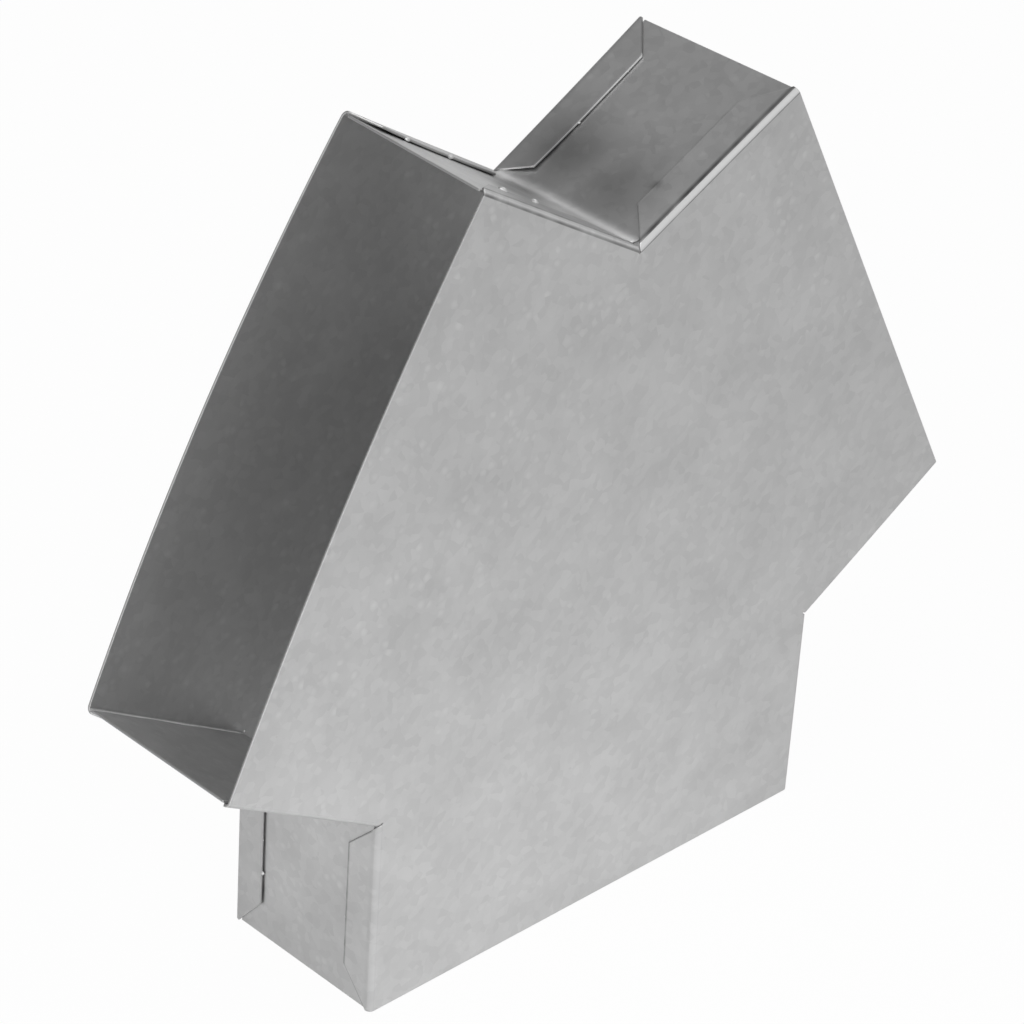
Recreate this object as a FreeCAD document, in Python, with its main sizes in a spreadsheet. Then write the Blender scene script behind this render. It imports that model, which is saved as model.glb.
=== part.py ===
"""Y branch for flat rectangular ducts, folded and tacked together from galvanised sheet.

Two Y shaped plates carry folded flanges along every side of their three arms. The flanges lap
over the outside of three wall strips, each bent to a V between two arms, and weld beads at the
flanges' free edges tack them to the walls. The three mouths are equal and 120 degrees apart.

Frame: millimetres, +Z up along the trunk, the front plate faces -Y and the origin is the middle
of the trunk mouth. Every sheet is drawn about the junction centre, and its placement lifts it.
"""
import FreeCAD, Part
import math
import os
from enum import IntEnum
from itertools import product

import Sketcher

# Driving dimensions in millimetres, with what each one measures
SIZES = {
    "duct_width": (150.0, "clear width of each mouth"),
    "duct_depth": (50.0, "clear depth of each mouth"),
    "mouth_reach": (100.0, "junction centre to the plane of each mouth"),
    "sheet_gauge": (0.6, "thickness of the sheet"),
    "fold_radius": (2.0, "outside radius of a flange's fold"),
    "flange_width": (10.0, "outside face of a plate to the free edge of its flanges"),
    "corner_gap": (0.4, "corner between two arms to the start of the folds that meet there"),
    "seam_gap": (0.05, "room between a flange and the wall that it laps"),
    "wall_bend": (3.0, "radius of a wall strip's bend, on its outside face"),
    "tack_radius": (0.9, "radius of a weld bead"),
    "tack_inset": (5.5, "mouth end of a flange's free edge to its first weld bead"),
    "tack_pitch": (14.0, "first weld bead of a flange to the second"),
}

# Three equal arms: the upper two rise at 30 degrees beside the upright trunk
ARM_COUNT = 3
ARM_RISE = 30.0
TACKS_PER_FLANGE = 2

# Sizes worked out from the driving dimensions, measured from the junction centre
PLATE_INSIDE = "(Sizes.duct_depth / 2)"
PLATE_FACE = f"({PLATE_INSIDE} + Sizes.sheet_gauge)"
WALL_FACE = "(Sizes.duct_width / 2 + Sizes.sheet_gauge)"
FLANGE_FACE = f"({WALL_FACE} + Sizes.seam_gap + Sizes.sheet_gauge)"
FOLD_LINE = f"({FLANGE_FACE} - Sizes.fold_radius)"
FOLD_CENTRE = f"({PLATE_FACE} - Sizes.fold_radius)"
FREE_EDGE = f"({PLATE_FACE} - Sizes.flange_width)"
# A flange runs from its mouth to the corner between two arms, where it clears its neighbour
FLANGE_MOUTH_END = "Sizes.mouth_reach"
FLANGE_CORNER_END = f"({FOLD_LINE} * tan({ARM_RISE} deg) + Sizes.corner_gap)"
FLANGE_LENGTH = f"({FLANGE_MOUTH_END} - {FLANGE_CORNER_END})"
# A wall strip fills the depth between the folds of the two plates
WALL_DEPTH = f"(2 * {FOLD_CENTRE})"
WALL_INNER_BEND = "(Sizes.wall_bend + Sizes.sheet_gauge)"
FIRST_TACK = f"({FLANGE_MOUTH_END} - Sizes.flange_width - Sizes.tack_inset)"

# Angles of an arc's ends, in degrees
DOWNWARDS = 270
RIGHTWARDS = 360
HALF_TURN = 180
# Drawn points this close together are one corner, in millimetres
SAME_POINT = 1e-6


class Point(IntEnum):
    """Points of a sketch's edge, by Sketcher's own numbers."""

    START = 1
    END = 2
    CENTRE = 3


class Axis(IntEnum):
    """Axes of a sketch, by Sketcher's own numbers."""

    X = -1
    Y = -2


# The x axis starts at the sketch's origin
ROOT = (Axis.X, Point.START)


doc = FreeCAD.newDocument("duct_y_branch")
sheet = doc.addObject("Spreadsheet::Sheet", "Sizes")
for row, (alias, (size, meaning)) in enumerate(SIZES.items(), start=1):
    sheet.set(f"A{row}", meaning)
    sheet.set(f"B{row}", str(size))
    sheet.setAlias(f"B{row}", alias)
doc.recompute()


def measure(expression):
    """Value of an expression over the sheet's cells."""
    return float(sheet.evalExpression(expression))


def origin_feature(body, role):
    """Axis or plane of a body's own origin."""
    return next(item for item in body.Origin.OriginFeatures if item.Role == role)


def new_sketch(body, name, plane, offsets):
    """Sketch on an origin plane, moved by expressions along its own x, y and z."""
    sketch = body.newObject("Sketcher::SketchObject", name)
    sketch.AttachmentSupport = [(origin_feature(body, plane), "")]
    sketch.MapMode = "FlatFace"
    for axis, expression in offsets.items():
        sketch.setExpression(f"AttachmentOffset.Base.{axis}", expression)
    return sketch


def line(start, end):
    """Straight edge of a sketch."""
    return Part.LineSegment(FreeCAD.Vector(*start, 0), FreeCAD.Vector(*end, 0))


def arc(centre, radius, first, last):
    """Round edge of a sketch, anticlockwise between two angles in degrees."""
    circle = Part.Circle(FreeCAD.Vector(*centre, 0), FreeCAD.Vector(0, 0, 1), radius)
    return Part.ArcOfCircle(circle, math.radians(first), math.radians(last))


def relate(sketch, *relations):
    """Geometric constraints, each a kind followed by what it relates."""
    for relation in relations:
        sketch.addConstraint(Sketcher.Constraint(*relation))


def drive(sketch, name, expression, kind, *geometry):
    """Dimension that follows an expression over the sheet's cells."""
    index = sketch.addConstraint(Sketcher.Constraint(kind, *geometry, measure(expression)))
    sketch.renameConstraint(index, name)
    sketch.setExpression(f"Constraints.{name}", expression)


def shared_ends(sketch, here, after):
    """Ends of two neighbouring edges that lie on the same point."""
    for leaving, arriving in product((Point.END, Point.START), (Point.START, Point.END)):
        if sketch.getPoint(here, leaving).isEqual(sketch.getPoint(after, arriving), SAME_POINT):
            return leaving, arriving
    raise ValueError(f"{sketch.Label}: edges {here} and {after} don't meet")


def outline(sketch, edges, smooth=()):
    """Closed outline, with neighbouring edges joined at the point that they share.

    smooth holds the edges, by their place in the outline, that run on tangent to the next.
    """
    numbers = [sketch.addGeometry(edge) for edge in edges]
    for place, here in enumerate(numbers):
        after = numbers[(place + 1) % len(numbers)]
        leaving, arriving = shared_ends(sketch, here, after)
        joint = "Tangent" if place in smooth else "Coincident"
        relate(sketch, (joint, here, leaving, after, arriving))
    return numbers


def add_pad(body, name, profile, length):
    """Pad of a sketch along its own normal."""
    pad = body.newObject("PartDesign::Pad", name)
    pad.Profile = profile
    pad.setExpression("Length", length)
    return pad


def repeat(body, kind, name):
    """Pattern of all that a body holds so far, which is built first."""
    doc.recompute()
    pattern = body.newObject(f"PartDesign::{kind}", name)
    pattern.TransformMode = "Whole shape"
    body.Tip = pattern
    return pattern


def add_mirror(body, name, plane):
    """Whole body mirrored in one of its origin planes."""
    mirror = repeat(body, "Mirrored", name)
    mirror.MirrorPlane = (origin_feature(body, plane), [""])


def add_arms(body, name):
    """Whole body repeated for each arm about the axis through the junction centre."""
    arms = repeat(body, "PolarPattern", name)
    arms.Axis = (origin_feature(body, "Y_Axis"), [""])
    arms.Angle = 360
    arms.Occurrences = ARM_COUNT


def stand(body, axis, degrees):
    """Turn a body about the junction centre and lift it until the trunk mouth is at the origin."""
    body.Placement = FreeCAD.Placement(FreeCAD.Vector(), FreeCAD.Rotation(axis, degrees))
    body.setExpression("Placement.Base.z", "Sizes.mouth_reach")
    return body


def draw_arm(sketch):
    """Flat of the trunk arm, from the junction centre to the mouth and between its fold lines."""
    side = measure(FOLD_LINE)
    mouth = -measure("Sizes.mouth_reach")
    top, right, bottom, left = outline(sketch, [
        line((-side, 0), (side, 0)),
        line((side, 0), (side, mouth)),
        line((side, mouth), (-side, mouth)),
        line((-side, mouth), (-side, 0)),
    ])
    relate(
        sketch,
        ("Vertical", right),
        ("Horizontal", bottom),
        ("Vertical", left),
        ("PointOnObject", top, Point.START, Axis.X),
        ("Symmetric", top, Point.START, top, Point.END, Axis.Y),
    )
    drive(sketch, "fold_line", FOLD_LINE, "DistanceX", *ROOT, top, Point.END)
    drive(sketch, "reach", "Sizes.mouth_reach", "DistanceY", right, Point.END, *ROOT)


def draw_flange(sketch):
    """Section of a flange: the quarter round fold, and the flat that laps the wall."""
    gauge = measure("Sizes.sheet_gauge")
    radius = measure("Sizes.fold_radius")
    fold_line = measure(FOLD_LINE)
    outside = measure(FLANGE_FACE)
    inside = outside - gauge
    level = -measure(FOLD_CENTRE)
    free = -measure(FREE_EDGE)
    fold, outer, edge, inner, throat, root = outline(sketch, [
        arc((fold_line, level), radius, DOWNWARDS, RIGHTWARDS),
        line((outside, level), (outside, free)),
        line((outside, free), (inside, free)),
        line((inside, free), (inside, level)),
        arc((fold_line, level), radius - gauge, DOWNWARDS, RIGHTWARDS),
        line((fold_line, level - radius + gauge), (fold_line, level - radius)),
    ], smooth=(0, 3))
    relate(
        sketch,
        ("Coincident", fold, Point.CENTRE, throat, Point.CENTRE),
        ("Vertical", fold, Point.START, fold, Point.CENTRE),
        ("Vertical", outer),
        ("Horizontal", edge),
        ("Vertical", inner),
        ("Vertical", root),
    )
    drive(sketch, "fold_radius", "Sizes.fold_radius", "Radius", fold)
    drive(sketch, "gauge", "Sizes.sheet_gauge", "DistanceX", edge, Point.END, edge, Point.START)
    drive(sketch, "fold_line", FOLD_LINE, "DistanceX", *ROOT, fold, Point.CENTRE)
    drive(sketch, "fold_centre", FOLD_CENTRE, "DistanceY", fold, Point.CENTRE, *ROOT)
    drive(sketch, "free_edge", FREE_EDGE, "DistanceY", edge, Point.START, *ROOT)


def draw_mitre(sketch, name, flange_end, direction):
    """Triangle that takes a flange's end back at 45 degrees; direction points along the flange."""
    face = -measure(PLATE_FACE)
    free = -measure(FREE_EDGE)
    level = -measure(flange_end)
    tip = level + direction * (free - face)
    across, along, _slope = outline(sketch, [
        line((face, level), (free, level)),
        line((free, level), (free, tip)),
        line((free, tip), (face, level)),
    ])
    relate(sketch, ("Horizontal", across), ("Vertical", along), ("Equal", across, along))
    drive(sketch, f"{name}_face", PLATE_FACE, "DistanceX", across, Point.START, *ROOT)
    drive(sketch, f"{name}_free_edge", FREE_EDGE, "DistanceX", across, Point.END, *ROOT)
    drive(sketch, f"{name}_level", flange_end, "DistanceY", across, Point.START, *ROOT)


def make_plate(name, turn):
    """Y shaped plate with a mitred flange folded back along both sides of each arm."""
    body = doc.addObject("PartDesign::Body", name)
    arm = new_sketch(body, f"{name}_arm", "XZ_Plane", {"z": PLATE_INSIDE})
    draw_arm(arm)
    add_pad(body, f"{name}_flat", arm, "Sizes.sheet_gauge")

    section = new_sketch(body, f"{name}_flange_section", "XY_Plane", {"z": f"-{FLANGE_MOUTH_END}"})
    draw_flange(section)
    flange = add_pad(body, f"{name}_flange", section, FLANGE_LENGTH)

    ends = new_sketch(body, f"{name}_flange_ends", "YZ_Plane", {"z": FOLD_LINE})
    draw_mitre(ends, "mouth", FLANGE_MOUTH_END, 1)
    draw_mitre(ends, "corner", FLANGE_CORNER_END, -1)
    mitres = body.newObject("PartDesign::Pocket", f"{name}_mitres")
    mitres.Profile = ends
    # The cut runs outwards from the fold line, so the flat of the arm stays whole
    mitres.Reversed = True
    mitres.setExpression("Length", "Sizes.fold_radius + Sizes.sheet_gauge")
    doc.recompute()
    if mitres.Shape.Volume >= flange.Shape.Volume:
        raise RuntimeError(f"{name}: the mitres cut nothing")

    add_mirror(body, f"{name}_both_sides", "YZ_Plane")
    add_arms(body, f"{name}_arms")
    return stand(body, FreeCAD.Vector(0, 0, 1), turn)


def draw_wall(sketch):
    """Half section of a wall strip, from the middle of its bend along one leg to the mouth."""
    rise = math.radians(ARM_RISE)
    along = FreeCAD.Vector(math.cos(rise), math.sin(rise), 0)
    across = FreeCAD.Vector(-math.sin(rise), math.cos(rise), 0)
    face = measure(WALL_FACE)
    bend = measure("Sizes.wall_bend")
    inner_bend = measure(WALL_INNER_BEND)
    centre = FreeCAD.Vector(0, (face + bend) / math.cos(rise), 0)
    mouth = along * measure("Sizes.mouth_reach")
    outer_mouth = mouth + across * face
    inner_mouth = outer_mouth - across * (inner_bend - bend)
    outer_bend_end = centre - across * bend
    inner_bend_end = centre - across * inner_bend
    outer_bend_start = centre - FreeCAD.Vector(0, bend, 0)
    inner_bend_start = centre - FreeCAD.Vector(0, inner_bend, 0)
    outer_arc, outer_leg, end, inner_leg, inner_arc, _middle = outline(sketch, [
        arc(centre[:2], bend, DOWNWARDS, DOWNWARDS + ARM_RISE),
        line(outer_bend_end[:2], outer_mouth[:2]),
        line(outer_mouth[:2], inner_mouth[:2]),
        line(inner_mouth[:2], inner_bend_end[:2]),
        arc(centre[:2], inner_bend, DOWNWARDS, DOWNWARDS + ARM_RISE),
        line(inner_bend_start[:2], outer_bend_start[:2]),
    ], smooth=(0, 3))
    relate(
        sketch,
        ("Coincident", outer_arc, Point.CENTRE, inner_arc, Point.CENTRE),
        ("PointOnObject", outer_arc, Point.CENTRE, Axis.Y),
        ("PointOnObject", outer_arc, Point.START, Axis.Y),
        ("PointOnObject", inner_arc, Point.START, Axis.Y),
        ("Parallel", outer_leg, inner_leg),
        ("Perpendicular", outer_leg, end),
        ("Angle", outer_leg, rise),
    )
    drive(sketch, "bend", "Sizes.wall_bend", "Radius", outer_arc)
    drive(sketch, "inner_bend", WALL_INNER_BEND, "Radius", inner_arc)
    drive(sketch, "face", WALL_FACE, "Distance", *ROOT, outer_leg)
    drive(sketch, "reach", "Sizes.mouth_reach", "Distance", *ROOT, end)


def make_wall(name, turn):
    """Wall strip between two arms, bent to a V with its bend in the corner."""
    body = doc.addObject("PartDesign::Body", name)
    section = new_sketch(body, f"{name}_section", "XZ_Plane", {})
    draw_wall(section)
    strip = add_pad(body, f"{name}_leg", section, WALL_DEPTH)
    strip.SideType = "Symmetric"
    add_mirror(body, f"{name}_both_legs", "YZ_Plane")
    return stand(body, FreeCAD.Vector(0, 1, 0), turn)


def make_tacks(name):
    """Quarter round weld beads in the angle between each flange's free edge and the wall."""
    body = doc.addObject("PartDesign::Body", name)
    offsets = {"x": f"-{FREE_EDGE}", "y": f"-{FIRST_TACK}", "z": WALL_FACE}
    section = new_sketch(body, f"{name}_section", "YZ_Plane", offsets)
    radius = measure("Sizes.tack_radius")
    bead, _flat = outline(section, [
        arc((0, 0), radius, DOWNWARDS, DOWNWARDS + HALF_TURN),
        line((0, radius), (0, -radius)),
    ])
    relate(
        section,
        ("Coincident", bead, Point.CENTRE, *ROOT),
        ("PointOnObject", bead, Point.START, Axis.Y),
        ("PointOnObject", bead, Point.END, Axis.Y),
    )
    drive(section, "radius", "Sizes.tack_radius", "Radius", bead)

    tack = body.newObject("PartDesign::Revolution", f"{name}_bead")
    tack.Profile = section
    tack.ReferenceAxis = (section, ["V_Axis"])
    tack.Angle = 90
    # Turned from the wall's face outwards
    tack.Reversed = True
    row = repeat(body, "LinearPattern", f"{name}_row")
    row.Direction = (origin_feature(body, "Z_Axis"), [""])
    row.setExpression("Length", "Sizes.tack_pitch")
    row.Occurrences = TACKS_PER_FLANGE
    add_mirror(body, f"{name}_both_plates", "XZ_Plane")
    add_mirror(body, f"{name}_both_sides", "YZ_Plane")
    add_arms(body, f"{name}_arms")
    return stand(body, FreeCAD.Vector(0, 1, 0), 0)


pieces = [
    make_plate("front_plate", 0),
    make_plate("back_plate", 180),
    make_wall("crotch_wall", 0),
    make_wall("right_wall", 120),
    make_wall("left_wall", 240),
    make_tacks("tack_welds"),
]
doc.recompute()

for item in doc.Objects:
    if "Invalid" in item.State or "Error" in item.State:
        raise RuntimeError(f"{item.Label} failed: {item.State}")
for piece in pieces:
    if piece.Shape.isNull() or not piece.Shape.isValid():
        raise RuntimeError(f"{piece.Label} has no valid shape")

os.makedirs("parts", exist_ok=True)
for piece in pieces:
    piece.Shape.exportStep(f"parts/{piece.Label}.step")
    print(piece.Label, "solids", len(piece.Shape.Solids), "volume", round(piece.Shape.Volume, 1))
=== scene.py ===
"""Looks of a flat duct Y branch, folded from galvanised sheet and tacked with weld beads."""

import logging
import math
from abc import ABC, abstractmethod
from dataclasses import dataclass, field
from enum import Enum
from typing import Dict, List, Sequence, Tuple

import bmesh
import bpy
import numpy as np
from mathutils import Matrix, Vector, noise


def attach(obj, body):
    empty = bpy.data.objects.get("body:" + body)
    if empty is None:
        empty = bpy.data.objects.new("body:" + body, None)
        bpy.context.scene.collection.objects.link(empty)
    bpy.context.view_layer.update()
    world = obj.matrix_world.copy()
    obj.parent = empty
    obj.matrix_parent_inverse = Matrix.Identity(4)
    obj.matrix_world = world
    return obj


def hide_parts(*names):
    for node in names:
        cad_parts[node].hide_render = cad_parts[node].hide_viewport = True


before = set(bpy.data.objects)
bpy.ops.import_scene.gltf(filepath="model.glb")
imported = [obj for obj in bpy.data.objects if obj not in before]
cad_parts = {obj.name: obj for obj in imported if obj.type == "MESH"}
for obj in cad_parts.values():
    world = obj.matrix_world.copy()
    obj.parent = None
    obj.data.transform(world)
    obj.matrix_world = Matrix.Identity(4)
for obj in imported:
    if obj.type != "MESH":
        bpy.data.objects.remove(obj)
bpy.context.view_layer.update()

log = logging.getLogger("duct_y_branch")

# Short names of Blender's types
Piece = bpy.types.Object
Tree = bpy.types.NodeTree
Node = bpy.types.Node
Socket = bpy.types.NodeSocket

MM = 0.001
BODY = "root"
CUT_EDGE = "cut_edge"
# Burns round the beads and painted shade in the crotch
BURN_AND_SHADE = "burn_and_shade"
# Painted highlight above zero; painted shade, with grime along the seams, below zero
TONE = "tone"
# Points of one skin that are nearer than this are one point, in millimetres
WELD_DISTANCE = 0.001
# Keeps round sizes away from the border between two such points
WELD_OFFSET = 0.37
# Half the angle between two arms, in degrees
HALF_NOTCH = 60.0
# Span of a soft noise that holds nearly all of its values
NOISE_SPAN = (0.3, 0.7)


def turned(degrees: float) -> np.ndarray:
    """Unit vector in the plane of the plates, turned up from +X."""
    angle = math.radians(degrees)
    return np.array([math.cos(angle), 0.0, math.sin(angle)])


class Face(Enum):
    """The two broad plates, by the side of the middle plane that they lie on."""

    FRONT = -1.0
    BACK = 1.0

    @property
    def outwards(self) -> np.ndarray:
        """Unit vector out of the plate."""
        return np.array([0.0, self.value, 0.0])


class Arm(Enum):
    """The three arms, by the angle of their axis in the plane of the plates, in degrees."""

    TRUNK = 270.0
    RIGHT = 30.0
    LEFT = 150.0

    @property
    def along(self) -> np.ndarray:
        """Unit vector out along the arm."""
        return turned(self.value)

    @property
    def across(self) -> np.ndarray:
        """Unit vector to the arm's left hand, seen from the front."""
        return turned(self.value + 90.0)


class Hand(Enum):
    """The two sides of an arm, seen from the front with the arm pointing away."""

    LEFT = 1.0
    RIGHT = -1.0


FlangeKey = Tuple[Face, Arm, Hand]


@dataclass(frozen=True)
class SheetSizes:
    """Sizes that all the folded sheets share, in millimetres."""

    clear_width: float = 150.0
    clear_depth: float = 50.0
    mouth_reach: float = 100.0
    gauge: float = 0.6
    fold_radius: float = 1.6
    flange_width: float = 10.0
    corner_gap: float = 0.4
    seam_gap: float = 0.05
    wall_bend: float = 3.0
    tack_radius: float = 0.9

    @property
    def junction(self) -> np.ndarray:
        """Middle of the junction, above the trunk mouth."""
        return np.array([0.0, 0.0, self.mouth_reach])

    @property
    def plate_face(self) -> float:
        """Outer face of a plate, from the middle plane."""
        return self.clear_depth / 2 + self.gauge

    @property
    def wall_face(self) -> float:
        """Outer face of a wall, from the arm's axis."""
        return self.clear_width / 2 + self.gauge

    @property
    def flange_face(self) -> float:
        """Outer face of a flange, from the arm's axis."""
        return self.wall_face + self.seam_gap + self.gauge

    @property
    def fold_line(self) -> float:
        """Where a plate starts to bend into a flange, from the arm's axis."""
        return self.flange_face - self.fold_radius

    @property
    def fold_level(self) -> float:
        """Where a fold has turned into its flange, from the middle plane."""
        return self.plate_face - self.fold_radius

    @property
    def free_edge(self) -> float:
        """Free edge of a flange, from the middle plane."""
        return self.plate_face - self.flange_width

    @property
    def plate_corner(self) -> float:
        """Inner corner of a plate's flat, along the arm from the junction."""
        return self.fold_line / math.sqrt(3.0)

    @property
    def flange_start(self) -> float:
        """Inner end of a flange at its fold, along the arm."""
        return self.plate_corner + self.corner_gap

    def at(self, arm: Arm, along: np.ndarray, across: np.ndarray, level: np.ndarray) -> np.ndarray:
        """Places points by an arm's own directions.

        Args:
            arm: The arm that the points belong to.
            along: Distances out along the arm's axis.
            across: Distances to the arm's left hand.
            level: Distances behind the middle plane.

        Returns:
            Points in the part's frame, one row each.
        """
        along, across, level = np.broadcast_arrays(along, across, level)
        points = along[..., None] * arm.along + across[..., None] * arm.across + self.junction
        points[..., 1] += level
        return points


@dataclass(frozen=True)
class MouthSet:
    """Spring of one plate's mouth edge towards the back, and its right end's rise, in millimetres."""

    right_corner: float = 0.0
    left_corner: float = 0.0
    bow: float = 0.0
    right_rise: float = 0.0

    def shift(self, share: np.ndarray) -> np.ndarray:
        """Spring of the edge at a share of its width, from the arm's right hand to its left."""
        slope = self.right_corner + (self.left_corner - self.right_corner) * share
        return slope + 4.0 * self.bow * share * (1.0 - share)


@dataclass(frozen=True)
class SheetSpring:
    """The smooth bowing that the tacked sheets have taken, the same for every piece."""

    sizes: SheetSizes
    fixed_to: float = 20.0
    most_growth: float = 1.2
    mouths: Dict[Tuple[Face, Arm], MouthSet] = field(default_factory=lambda: {
        (Face.FRONT, Arm.LEFT): MouthSet(right_corner=3.5, left_corner=-1.1, bow=2.4),
        (Face.BACK, Arm.LEFT): MouthSet(right_corner=1.2, left_corner=-0.7, bow=3.9, right_rise=1.5),
        (Face.FRONT, Arm.RIGHT): MouthSet(right_corner=0.6, left_corner=-2.0, bow=0.0),
        (Face.BACK, Arm.RIGHT): MouthSet(right_corner=0.0, left_corner=0.7, bow=0.0),
    })

    def sprung(self, points: np.ndarray) -> np.ndarray:
        """Moves points with the sheets.

        Args:
            points: Points of the nominal sheets, in millimetres.

        Returns:
            The same points where the bowed sheets have them.
        """
        from_middle = points - self.sizes.junction
        free_length = self.sizes.mouth_reach - self.fixed_to
        depth = np.clip(0.5 + points[:, 1] / (2.0 * self.sizes.plate_face), 0.0, 1.0)
        shares = {Face.FRONT: 1.0 - depth, Face.BACK: depth}
        moved = points.copy()
        for (face, arm), mouth in self.mouths.items():
            along = from_middle @ arm.along
            across = from_middle @ arm.across / self.sizes.flange_face
            growth = np.clip((along - self.fixed_to) / free_length, 0.0, self.most_growth)
            width_share = np.clip(0.5 + 0.5 * across, 0.0, 1.0)
            moved[:, 1] += shares[face] * growth ** 2 * mouth.shift(width_share)
            right_end = np.clip(growth, 0.0, 1.0) * np.clip(-across, 0.0, 1.0) ** 2
            rise = mouth.right_rise * shares[face] * right_end
            moved -= rise[:, None] * arm.across
        return moved


@dataclass(frozen=True)
class BurnAndShadeSpot:
    """A darkened spot, in millimetres: the burns round the beads, and the painted shade in the crotch."""

    place: Tuple[float, float, float]
    radius: float
    strength: float


@dataclass(frozen=True)
class WallMark:
    """A dark mark on the outside of a wall, placed by its arm, in millimetres; the small one is a burn and
    the broad ones are painted shade.
    """

    arm: Arm
    hand: Hand
    along: float
    level: float
    radius: float
    strength: float

    def spot(self, sizes: SheetSizes) -> BurnAndShadeSpot:
        """Puts the mark on the wall.

        Args:
            sizes: Sizes of the sheets.

        Returns:
            The spot on the wall's outer face.
        """
        across = np.array(self.hand.value * sizes.wall_face)
        middle = sizes.at(self.arm, np.array(self.along), across, np.array(self.level))
        return BurnAndShadeSpot(tuple(middle), self.radius, self.strength)


class SheetSkin:
    """Outer skin of a bent sheet, gathered in patches and closed to a solid of one gauge."""

    def __init__(self, gauge: float) -> None:
        """Starts an empty skin.

        Args:
            gauge: Thickness of the sheet, in millimetres.
        """
        self.gauge = gauge
        self.points: List[np.ndarray] = []
        self.normals: List[np.ndarray] = []
        self.tones: List[float] = []
        self.faces: List[Tuple[int, ...]] = []
        self._places: Dict[Tuple[int, ...], int] = {}

    def point(self, place: np.ndarray, normal: np.ndarray, tone: float = 0.0) -> int:
        """Finds the point at a place, and adds it where there is none.

        Args:
            place: The place, in millimetres.
            normal: The outward direction there.
            tone: How much painted highlight the point takes, or below zero, how much painted shade and
                grime.

        Returns:
            The point's number.
        """
        key = tuple(np.floor(place / WELD_DISTANCE + WELD_OFFSET).astype(int))
        if key not in self._places:
            self._places[key] = len(self.points)
            self.points.append(place)
            self.normals.append(normal / np.linalg.norm(normal))
            self.tones.append(tone)
        return self._places[key]

    def face(self, corners: Sequence[int]) -> None:
        """Adds a face, turned so that it looks out of the sheet.

        Args:
            corners: Numbers of its points, in order round the face.
        """
        ring = [self.points[number] for number in corners]
        looks = np.cross(ring[1] - ring[0], ring[2] - ring[0])
        outwards = sum(self.normals[number] for number in corners)
        self.faces.append(tuple(corners) if looks @ outwards > 0.0 else tuple(reversed(corners)))

    def patch(self, places: np.ndarray, normals: np.ndarray, tones: np.ndarray) -> None:
        """Adds a grid of four sided faces.

        Args:
            places: Points in rows and columns, in millimetres.
            normals: The outward direction at each point.
            tones: How much painted highlight each point takes, or below zero, how much painted shade and
                grime.
        """
        rows, columns = places.shape[:2]
        numbers = [[self.point(places[i, j], normals[i, j], tones[i, j]) for j in range(columns)]
                   for i in range(rows)]
        for i in range(rows - 1):
            for j in range(columns - 1):
                self.face((numbers[i][j], numbers[i][j + 1], numbers[i + 1][j + 1], numbers[i + 1][j]))

    def rim(self) -> List[Tuple[int, int]]:
        """Finds the open edges of the skin.

        Returns:
            The edges that only one face uses, in that face's order.
        """
        edges = [edge for face in self.faces for edge in zip(face, face[1:] + face[:1])]
        both_ways = set(edges)
        return [edge for edge in edges if edge[::-1] not in both_ways]

    def solid(self, name: str, spring: SheetSpring, spots: Sequence[BurnAndShadeSpot]) -> Piece:
        """Closes the skin to a solid sheet and bows it.

        Args:
            name: Name of the piece.
            spring: The bowing of the sheets.
            spots: Burns round the beads and painted shade spots, which are kept as a value on the points.

        Returns:
            The piece, in metres.
        """
        outer = np.array(self.points)
        count = len(outer)
        nominal = np.vstack([outer, outer - self.gauge * np.array(self.normals)])
        inner_faces = [tuple(number + count for number in reversed(face)) for face in self.faces]
        cut_faces = [(end, start, start + count, end + count) for start, end in self.rim()]
        mesh = bpy.data.meshes.new(name)
        mesh.from_pydata((spring.sprung(nominal) * MM).tolist(), [], self.faces + inner_faces + cut_faces)
        mesh.polygons.foreach_set("use_smooth", [True] * len(mesh.polygons))
        cut = mesh.attributes.new(CUT_EDGE, "FLOAT", "FACE")
        plain_count = 2 * len(self.faces)
        cut.data.foreach_set("value", [0.0] * plain_count + [1.0] * len(cut_faces))
        # Burns round the beads and painted shade in the crotch, as a value on the points
        burnt_and_shaded = np.zeros(len(nominal))
        for spot in spots:
            gap = np.linalg.norm(nominal - np.array(spot.place), axis=1)
            burnt_and_shaded = np.maximum(burnt_and_shaded, spot.strength * np.exp(-(gap / spot.radius) ** 2))
        mesh.attributes.new(BURN_AND_SHADE, "FLOAT", "POINT").data.foreach_set("value", burnt_and_shaded)
        inner_tones = np.zeros(count)
        rim_points = [start for start, _ in self.rim()]
        inner_tones[rim_points] = np.array(self.tones)[rim_points]
        tones = np.concatenate([self.tones, inner_tones])
        mesh.attributes.new(TONE, "FLOAT", "POINT").data.foreach_set("value", tones)
        piece = bpy.data.objects.new(name, mesh)
        bpy.context.scene.collection.objects.link(piece)
        return piece


@dataclass(frozen=True)
class EdgeBreak:
    """The small rounding that a shear leaves on a cut edge, in millimetres and degrees."""

    width: float = 0.2
    segments: int = 3
    sharper_than: float = 50.0

    def apply(self, piece: Piece) -> None:
        """Rounds the cut edges of a sheet and keeps its flats flat to the light.

        Args:
            piece: The sheet.
        """
        bevel = piece.modifiers.new("cut_edges", "BEVEL")
        bevel.width = self.width * MM
        bevel.segments = self.segments
        bevel.limit_method = "ANGLE"
        bevel.angle_limit = math.radians(self.sharper_than)
        bevel.use_clamp_overlap = False
        flats = piece.modifiers.new("flats", "WEIGHTED_NORMAL")
        flats.keep_sharp = True


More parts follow.
